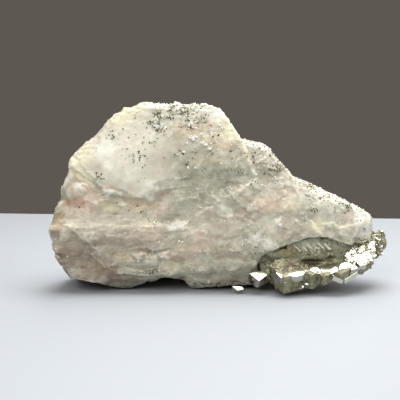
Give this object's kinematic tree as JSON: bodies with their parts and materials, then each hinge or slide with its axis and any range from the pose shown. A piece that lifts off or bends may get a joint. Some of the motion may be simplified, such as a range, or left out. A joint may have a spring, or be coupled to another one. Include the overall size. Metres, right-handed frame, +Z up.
{
  "type": "mineral specimen",
  "caption": "Hand specimen of milky white barite in thick broken plates, with brassy pyrite crystals grown along its lower right edge; stands on a broken flat base.",
  "frame": {"origin": "under the middle of the specimen's box, on the surface it stands on", "axes": "+Z up, +X along the length from the domed barite end to the pyrite end, -Y towards the front that the picture shows"},
  "size_m": [0.11, 0.049, 0.06],
  "materials": {
    "barite": "milky, pearly on cleavage faces, waxy on broken edges",
    "pyrite": "metallic, mirror-bright crystal faces with fine striations"
  },
  "bodies": {
    "root": {"barite": "barite", "pyrite_cluster": "pyrite", "pyrite_cube": "pyrite", "pyrite_low_cube": "pyrite"}
  },
  "joints": []
}
